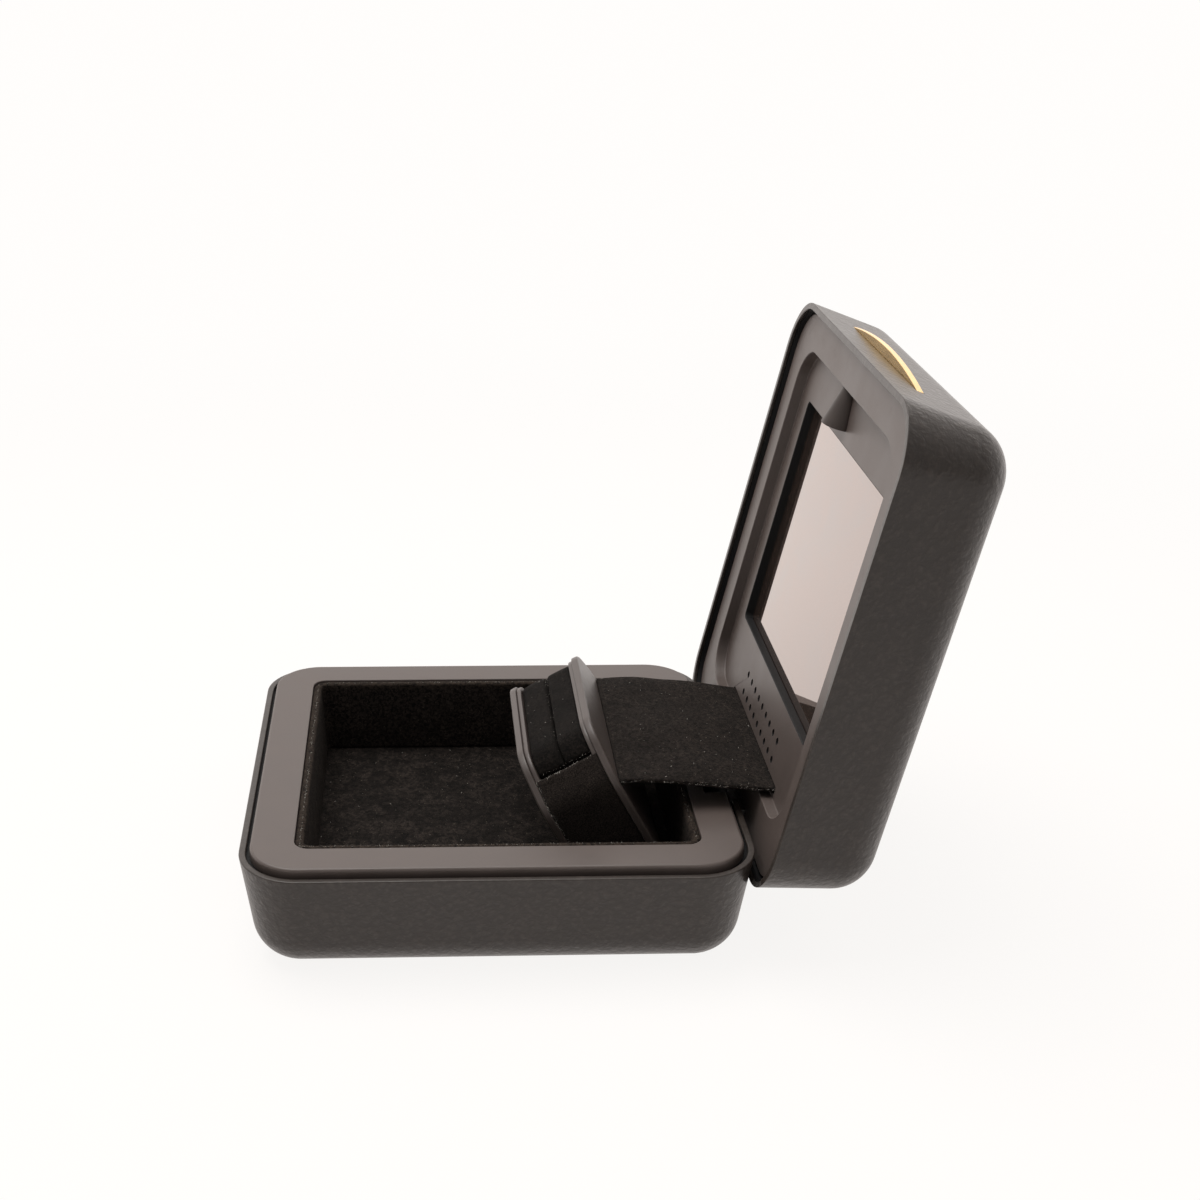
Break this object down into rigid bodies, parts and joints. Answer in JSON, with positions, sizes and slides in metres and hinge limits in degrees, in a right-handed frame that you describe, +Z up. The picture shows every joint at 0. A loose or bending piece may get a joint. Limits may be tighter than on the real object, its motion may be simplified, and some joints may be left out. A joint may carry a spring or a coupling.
{
  "type": "ring display box",
  "caption": "Hinged leather-wrapped ring box with a screen in its lid and a slotted suede holder that a strap lifts as the lid opens.",
  "frame": {"origin": "centre of the underside of the base, on the table", "axes": "+X along the hinge, -Y towards the front, +Y towards the hinge, +Z up"},
  "size_m": [0.0954, 0.1394, 0.1129],
  "materials": {
    "leather": "fine pebble grain, low sheen",
    "core_plastic": "moulded, black",
    "trim_plastic": "satin moulded, dark grey",
    "suede": "black faux suede",
    "felt": "pressed felt",
    "steel": "plain",
    "magnet": "nickel plated",
    "gold_metal": "polished pale gold",
    "screen_glass": "clear cover glass",
    "module_frame": "blank screen, lit by the room",
    "circuit_board": "solder mask",
    "battery_foil": "pouch foil",
    "speaker_black": "moulded, black",
    "clamp_plastic": "moulded, black",
    "lamp_lens": "clear lens"
  },
  "bodies": {
    "base": {"base_cover": "leather", "base_core": "core_plastic", "base_frame": "trim_plastic", "well_tray": "core_plastic", "well_lining": "suede", "well_floor_pad": "suede", "felt_pad": "felt", "weight_plate": "steel", "base_magnets": "magnet", "hinge_pins": "steel", "pivot_brackets": "steel", "pivot_pins": "steel", "bracket_screws": "steel"},
    "lid": {"lid_cover": "leather", "lid_core": "core_plastic", "lid_frame": "trim_plastic", "lamp_cowl": "trim_plastic", "lamp": "lamp_lens", "display_glass": "screen_glass", "display_module": "module_frame", "main_board": "circuit_board", "board_screws": "steel", "battery": "battery_foil", "speaker": "speaker_black", "lid_magnets": "magnet", "hinge_arm_left": "steel", "hinge_arm_right": "steel", "hinge_screws": "steel", "thumb_lip": "gold_metal", "strap_anchor": "suede", "strap_clamp": "clamp_plastic"},
    "holder": {"front_cheek": "trim_plastic", "rear_cheek": "trim_plastic", "holder_carrier": "trim_plastic", "ring_pad": "suede", "side_pad_left": "suede", "side_pad_right": "suede", "strap_tail": "suede"},
    "strap": {"lift_strap": "suede"}
  },
  "joints": [
    {"name": "lid_hinge", "type": "hinge", "parent": "base", "child": "lid", "pos_m": [0, 0.0464, 0.0193], "axis": [-1, 0, 0], "range_deg": [-101.9, 0]},
    {"name": "holder_tilt", "type": "hinge", "parent": "base", "child": "holder", "pos_m": [0, 0.021, 0.0123], "axis": [-1, 0, 0], "range_deg": [-60.7, 0]},
    {"name": "strap_swing", "type": "hinge", "parent": "lid", "child": "strap", "pos_m": [0, 0.05511, 0.02789], "axis": [-1, 0, 0], "range_deg": [0, 95.5]}
  ],
  "couplings": [
    {"joint": "holder_tilt", "follows": "lid_hinge", "ratio": 0.59568},
    {"joint": "strap_swing", "follows": "lid_hinge", "ratio": -0.93688}
  ]
}
